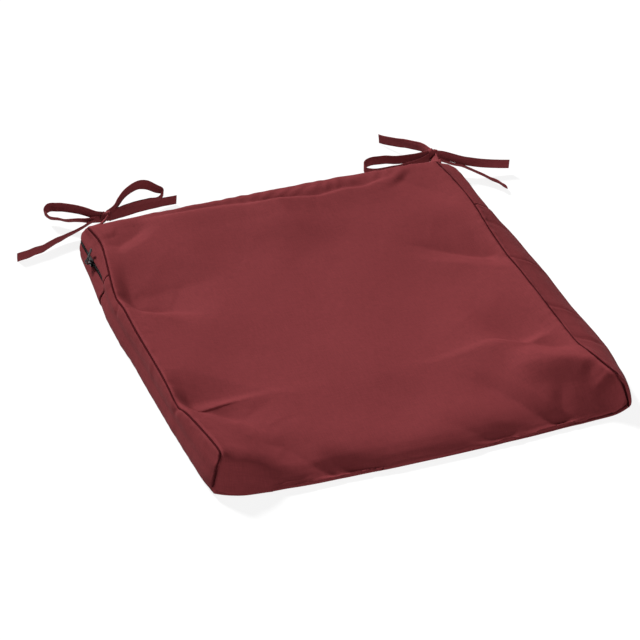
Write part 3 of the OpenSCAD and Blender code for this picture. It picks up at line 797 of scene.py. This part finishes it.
for ob in (top, gl, gr, fu, fl, bottom, foam):
    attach(ob, "cover")
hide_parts("top_panel"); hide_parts("gusset_left"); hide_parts("gusset_right")
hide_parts("zip_facing_upper"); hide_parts("zip_facing_lower"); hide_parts("bottom_panel"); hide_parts("foam_insert")

# ---------------------------------------------------------------- seams, coloured near black as painted shadow in their grooves
def seam_line_painted_shadow(name, pts, r, step=1.6):
    """The stitched seam at the bottom of the groove, with its stitches, coloured near black as painted shadow of the
    groove.
    """
    pts = np.asarray(pts, float)
    ts = np.concatenate([[0], np.cumsum(np.linalg.norm(np.diff(pts, axis=0), axis=1))])
    n = int(ts[-1] / (step / 2)) + 2
    t = np.linspace(0, ts[-1], n)
    C = np.stack([np.interp(t, ts, pts[:, k]) for k in range(3)], -1)
    T = np.gradient(blur(C[:, None], 4)[:, 0], axis=0); T /= np.linalg.norm(T, axis=1, keepdims=True)
    A = np.cross(T, np.array([0.31, 0.22, 0.92])); A /= np.linalg.norm(A, axis=1, keepdims=True)
    B = np.cross(T, A)
    m = 6
    th = np.arange(m) / m * 2 * math.pi
    rr = r * (1 + 0.22 * np.cos(t / step * 2 * math.pi))[:, None, None]
    V = C[:, None] + rr * (A[:, None] * np.cos(th)[None, :, None] + B[:, None] * np.sin(th)[None, :, None])
    V[..., 2] = np.maximum(V[..., 2], 0.2)
    i = np.arange(n - 1)[:, None] * m; j = np.arange(m)[None]; j2 = (j + 1) % m
    q = np.stack([i + j, i + j2, i + m + j2, i + m + j], -1).reshape(-1, 4)
    ob = new_object(name, V.reshape(-1, 3) * MM, [tuple(x) for x in q] + [tuple(range(m))[::-1], tuple((n - 1) * m + x for x in range(m))], None, m_seam_painted_shadow)
    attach(ob, "cover")
    return ob


# Near-black red for the seam tubes, far darker than the sewing thread: painted shadow of the seam grooves.
m_seam_painted_shadow = simple_noise_material("seam_shadow_thread", (0.038, 0.0062, 0.0075), 0.9, scale=3000, spec=0.0)
edge_L, edge_R = TOPP[:, 0], TOPP[:, -1]
seam_line_painted_shadow("cover_seam_left_painted_shadow", edge_L + np.array([0.0, 0, 0.1]), 0.95)
seam_line_painted_shadow("cover_seam_right_painted_shadow", edge_R + np.array([0.0, 0, 0.1]), 0.85)
seam_line_painted_shadow("cover_seam_rear_painted_shadow", TOPP[0] + np.array([0, 0.3, 0.0]), 0.6)

# ---------------------------------------------------------------- ties
LOOK = np.array([0.293, 0.786, -0.545])


def strap(name, pts, lean, width=11.0, thick=1.5, step=1.2, seed=1, wides=None):
    """A flat folded strap along pts. lean 0 stands on edge, 1 is turned edge-on to the front, -1 lies back."""
    pts = np.asarray(pts, float)
    seg = np.linalg.norm(np.diff(pts, axis=0), axis=1)
    ts = np.concatenate([[0], np.cumsum(seg)])
    n = max(8, int(ts[-1] / step))
    t = np.linspace(0, ts[-1], n)
    C = hermite(ts, pts, t)
    ln = hermite(ts, np.asarray(lean, float), t)
    W = np.array([0, 0, 1.0])[None] * (1 - np.abs(ln))[:, None] - LOOK[None] * ln[:, None]
    T = np.gradient(C, axis=0); T /= np.linalg.norm(T, axis=1, keepdims=True)
    if wides is not None:
        W = hermite(ts, np.asarray(wides, float), t)
    W = W - np.sum(W * T, axis=1, keepdims=True) * T
    W = blur(W[:, None], 6)[:, 0]
    W /= np.linalg.norm(W, axis=1, keepdims=True)
    N = np.cross(T, W)
    half = width / 2
    prof = [(-half, 0.0), (-half + 0.25, 0.62), (-half + 0.9, 0.95), (-half + 1.5, 0.55), (-half + 2.2, 0.95), (-half * 0.35, 1.0), (half * 0.35, 1.0), (half - 2.2, 0.95), (half - 1.5, 0.55), (half - 0.9, 0.95), (half - 0.25, 0.62),
            (half, 0.0)]
    ring = prof + [(x, -y) for x, y in prof[-2:0:-1]]
    R = np.array([(x, y * thick / 2) for x, y in ring])
    m = len(R)
    wob = 0.28 * smooth_noise(t, t * 0 + seed * 3.1, 9.0, seed)[:, None] + 0.5 * smooth_noise(t, t * 0 + seed, 24.0, seed + 1)[:, None]
    cup = 0.35 * smooth_noise(t, t * 0 + 5.0, 30.0, seed + 2)[:, None]
    V = C[:, None] + W[:, None] * R[None, :, 0:1] + N[:, None] * (R[None, :, 1] + wob + cup * (np.abs(R[None, :, 0]) / half) ** 2 * 1.6)[..., None]
    V[..., 2] = np.maximum(V[..., 2], 0.12)
    uv = np.stack([np.repeat(t[:, None], m, 1), np.repeat(R[None, :, 0], n, 0) + 20], -1)
    i = np.arange(n - 1)[:, None] * m; j = np.arange(m)[None]; j2 = (j + 1) % m
    q = np.stack([i + j, i + m + j, i + m + j2, i + j2], -1).reshape(-1, 4)
    faces = [tuple(x) for x in q] + [tuple(range(m)), tuple((n - 1) * m + x for x in range(m))[::-1]]
    ob = new_object(name, V.reshape(-1, 3) * MM, faces, uv.reshape(-1, 2) * MM, m_tie)
    me = ob.data
    for p in list(me.polygons)[-2:]:
        p.use_smooth = False
    return ob, float(ts[-1])


def knot(name, c, rx, ry, rz, tilt, seed, material):
    """A pulled-tight wrap with creases round it, rounded at both ends."""
    nu_, nv_ = 40, 56
    a = np.linspace(0, 1, nu_)[:, None]
    th = np.linspace(0, 2 * math.pi, nv_, endpoint=False)[None]
    s = 2 * a - 1
    env = np.clip(1 - np.abs(s) ** 4.5, 0, 1) ** 0.5 * (1 - 0.10 * np.exp(-(s / 0.35) ** 2) + 0.10 * s ** 2)
    cre = 0.045 * np.sin(s * 11 + 1.3 * np.sin(th + seed)) + 0.03 * np.sin(s * 23 + 2.0 * np.sin(2 * th + seed * 2))
    r = env * (1 + cre + 0.05 * np.sin(2 * th + seed + 1.5 * s))
    sq = lambda q: np.sign(q) * np.abs(q) ** 0.8
    X = rx * s + 0 * th
    Y = ry * r * sq(np.cos(th)); Z = rz * r * sq(np.sin(th))
    P = np.stack([X, Y, Z], -1).reshape(-1, 3)
    ct, st_ = math.cos(tilt), math.sin(tilt)
    R = np.array([[ct, 0, -st_], [0, 1, 0], [st_, 0, ct]])
    yaw = math.radians(-12)
    Rz = np.array([[math.cos(yaw), -math.sin(yaw), 0], [math.sin(yaw), math.cos(yaw), 0], [0, 0, 1]])
    P = P @ R.T @ Rz.T + np.asarray(c)
    f = []
    for i in range(nu_ - 1):
        for j in range(nv_):
            j2 = (j + 1) % nv_
            f.append((i * nv_ + j, i * nv_ + j2, (i + 1) * nv_ + j2, (i + 1) * nv_ + j))
    uv = np.stack([(X + 0 * Z).ravel(), (th + 0 * X).ravel() * rz], -1)
    return new_object(name, P * MM, f, uv * MM, material)


def tie(side, root_x, parts, kc, tilt, seed):
    body = "tie_" + side
    lens = {}
    for i, (nm, pts, lean) in enumerate(parts):
        ob, ln = strap(f"strap_{side}_{nm}", pts, lean, seed=seed + i * 7)
        lens[nm] = ln
        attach(ob, body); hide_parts(f"tie_{side}_{nm}")
    kn = knot(f"strap_{side}_knot", kc, 6.2, 4.9, 5.9, tilt, seed, m_tie)
    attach(kn, body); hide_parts(f"tie_{side}_knot")
    # the doubled strap from the sewn root to the knot
    k = np.asarray(kc, float)
    p = [(root_x, 226.4, 30.6), (root_x, 229.6, 33.6), (root_x, 230.4, 36.4), (root_x + 0.10 * (k[0] - root_x), 234.0, 36.2),
         (root_x + 0.50 * (k[0] - root_x), 229.6 + 0.50 * (k[1] - 229.6), 27.0), (k[0], k[1] - 2.0, k[2] - 1.5)]
    w = [(1, 0, 0)] * 4 + [(0.8, 0, 0.3), (0.45, -0.1, 0.8)]
    stem, ln = strap(f"strap_{side}_stem", p, [0] * 6, thick=2.2, seed=seed + 31, wides=w)
    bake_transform(stem)
    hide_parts(f"tie_{side}_root")
    lens["stem"] = ln
    # bar tack: a dense zigzag of thread over the root
    zz = []
    for i in range(27):
        zz.append((root_x - 5.2 + 10.4 * i / 26, 231.3 + 0.1 * (i % 2), 32.2 + (1.7 if i % 2 else 0.0)))
    zz = np.array(zz)
    m = 6; th = np.arange(m) / m * 2 * math.pi
    T = np.gradient(zz, axis=0); T /= np.linalg.norm(T, axis=1, keepdims=True)
    A = np.cross(T, np.array([0, 1.0, 0])); A /= np.linalg.norm(A, axis=1, keepdims=True)
    B = np.cross(T, A)
    V = zz[:, None] + 0.26 * (A[:, None] * np.cos(th)[None, :, None] + B[:, None] * np.sin(th)[None, :, None])
    f = [(i * m + j, i * m + (j + 1) % m, (i + 1) * m + (j + 1) % m, (i + 1) * m + j) for i in range(len(zz) - 1) for j in range(m)]
    f += [tuple(range(m))[::-1], tuple((len(zz) - 1) * m + x for x in range(m))]
    tack = new_object(f"thread_{side}_bar_tack", V.reshape(-1, 3) * MM, f, None, m_thread)
    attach(tack, "cover"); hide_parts(f"tie_{side}_bar_tack")
    return lens


LEFT_TIE = [
    ("loop_outer", [(-170.5, 271.5, 22.5), (-175.5, 272.5, 24.0), (-183.7, 283.4, 24.0), (-197.2, 300.1, 22.0), (-209.9, 314.1, 19.0), (-219.5, 320.0, 16.0), (-224.3, 318.0, 13.0), (-221.0, 311.0, 10.5), (-209.6, 302.5, 10.0), (-196.3, 291.0, 13.0), (-186.0, 280.0, 17.0), (-174.0, 271.0, 21.0)],
     [0, 0, 0, 0, 0, 0.1, 0.35, 0.7, 0.8, 0.75, 0.6, 0.4]),
    ("loop_inner", [(-166.0, 272.5, 23.5), (-161.3, 273.7, 25.0), (-148.5, 288.0, 28.0), (-134.6, 301.5, 30.0), (-120.8, 309.3, 30.0), (-110.5, 312.4, 27.0), (-100.5, 308.6, 22.0), (-94.0, 305.0, 18.5), (-97.5, 301.5, 15.5), (-113.2, 298.5, 15.0), (-128.4, 292.2, 17.0), (-146.1, 283.4, 20.0), (-163.0, 273.2, 21.5)],
     [0, 0, 0.1, 0.1, 0.0, -0.1, 0.1, 0.4, 0.6, 0.5, 0.4, 0.3, 0.2]),
    ("tail_outer", [(-171.0, 273.5, 20.0), (-176.0, 275.5, 18.5), (-189.2, 276.5, 13.0), (-201.4, 274.0, 10.0), (-216.1, 269.8, 8.0), (-237.7, 260.2, 6.4), (-258.1, 254.6, 5.8), (-273.5, 250.7, 5.6)],
     [0.6, 0.75, 0.85, 0.8, 0.65, 0.35, 0.15, 0.1]),
    ("tail_inner", [(-164.0, 273.5, 20.5), (-152.0, 279.1, 18.0), (-136.0, 287.6, 14.0), (-113.8, 298.1, 9.5), (-92.9, 304.5, 6.8), (-78.5, 305.4, 5.8)],
     [0, 0, 0, 0, 0, 0]),
]
RIGHT_TIE = [
    ("tail_rear", [(206.5, 270.0, 25.0), (203.9, 290.2, 22.0), (196.5, 311.4, 16.0), (186.3, 333.6, 10.0), (179.6, 346.3, 7.0), (176.6, 352.0, 6.2)],
     [0, 0, 0, 0, 0, 0]),
    ("loop_inner", [(204.5, 267.0, 26.0), (199.5, 267.0, 26.0), (184.8, 267.4, 25.0), (169.2, 275.2, 22.0), (155.3, 284.4, 20.0), (141.9, 288.8, 18.0), (132.8, 284.3, 17.0), (131.6, 278.1, 15.5), (138.0, 273.8, 15.0), (150.6, 270.8, 15.5), (168.5, 265.6, 18.0), (187.1, 262.0, 21.0), (202.0, 263.8, 24.0)],
     [0.1, 0.1, 0.1, 0.1, 0.05, 0.05, 0.15, 0.35, 0.5, 0.55, 0.4, 0.15, 0.1]),
    ("loop_outer", [(207.5, 266.6, 26.0), (215.2, 264.7, 24.5), (225.9, 261.4, 21.0), (239.1, 255.7, 17.0), (257.3, 250.5, 13.5), (273.7, 246.5, 11.5), (288.0, 242.2, 10.5)],
     [0.2, 0.1, 0.05, 0, 0, 0, 0]),
    ("tail_front", [(207.4, 266.3, 22.0), (215.8, 262.8, 18.0), (233.6, 254.7, 12.0), (254.7, 234.4, 7.2), (264.6, 218.4, 5.6), (269.4, 207.2, 5.2)],
     [0.5, 0.8, 0.85, 0.85, 0.85, 0.85]),
]
lens_l = tie("left", -196.0, LEFT_TIE, (-168.0, 271.6, 22.6), 0.15, 3)
lens_r = tie("right", 196.0, RIGHT_TIE, (206.0, 267.0, 26.0), -0.35, 5)
print("strap lengths mm", lens_l, lens_r)

# ---------------------------------------------------------------- stage
import bmesh
me = bpy.data.meshes.new("floor")
bm = bmesh.new(); bmesh.ops.create_grid(bm, x_segments=1, y_segments=1, size=8.0); bm.to_mesh(me); bm.free()
floor = bpy.data.objects.new("floor", me); col.objects.link(floor)
mf, nt, bf = mat_base("floor_paper")
bf.inputs["Base Color"].default_value = (0.13, 0.13, 0.13, 1); bf.inputs["Emission Color"].default_value = (1, 1, 1, 1); bf.inputs["Emission Strength"].default_value = 0.86; bf.inputs["Roughness"].default_value = 0.9; bf.inputs["Specular IOR Level"].default_value = 0.0
me.materials.append(mf)
floor.location = (0, 0, -0.0002)
world = bpy.data.worlds.new("studio"); scene.world = world
world.use_nodes = True
world.node_tree.nodes["Background"].inputs[0].default_value = (1, 1, 1, 1)
world.node_tree.nodes["Background"].inputs[1].default_value = 0.09


def area(name, loc, target, size, power):
    ld = bpy.data.lights.new(name, "AREA"); ld.shape = "RECTANGLE"; ld.size, ld.size_y = size; ld.energy = power
    ob = bpy.data.objects.new(name, ld); col.objects.link(ob)
    ob.location = loc
    ob.rotation_euler = (Vector(target) - Vector(loc)).to_track_quat("-Z", "Y").to_euler()
    return ob


def far_panel(name, energy, spread, travel):
    ld = bpy.data.lights.new(name, "SUN"); ld.energy = energy; ld.angle = math.radians(spread)
    ob = bpy.data.objects.new(name, ld); col.objects.link(ob)
    ob.location = Vector(travel) * -2.0
    ob.rotation_euler = Vector(travel).to_track_quat("-Z", "Y").to_euler()


far_panel("key_panel", 7.0, 12, (0.25, -0.75, -0.61))
far_panel("front_fill", 1.70, 50, (-0.10, 0.90, -0.42))
scene.view_settings.view_transform = "Standard"
scene.view_settings.look = "None"
scene.view_settings.exposure = 0.0
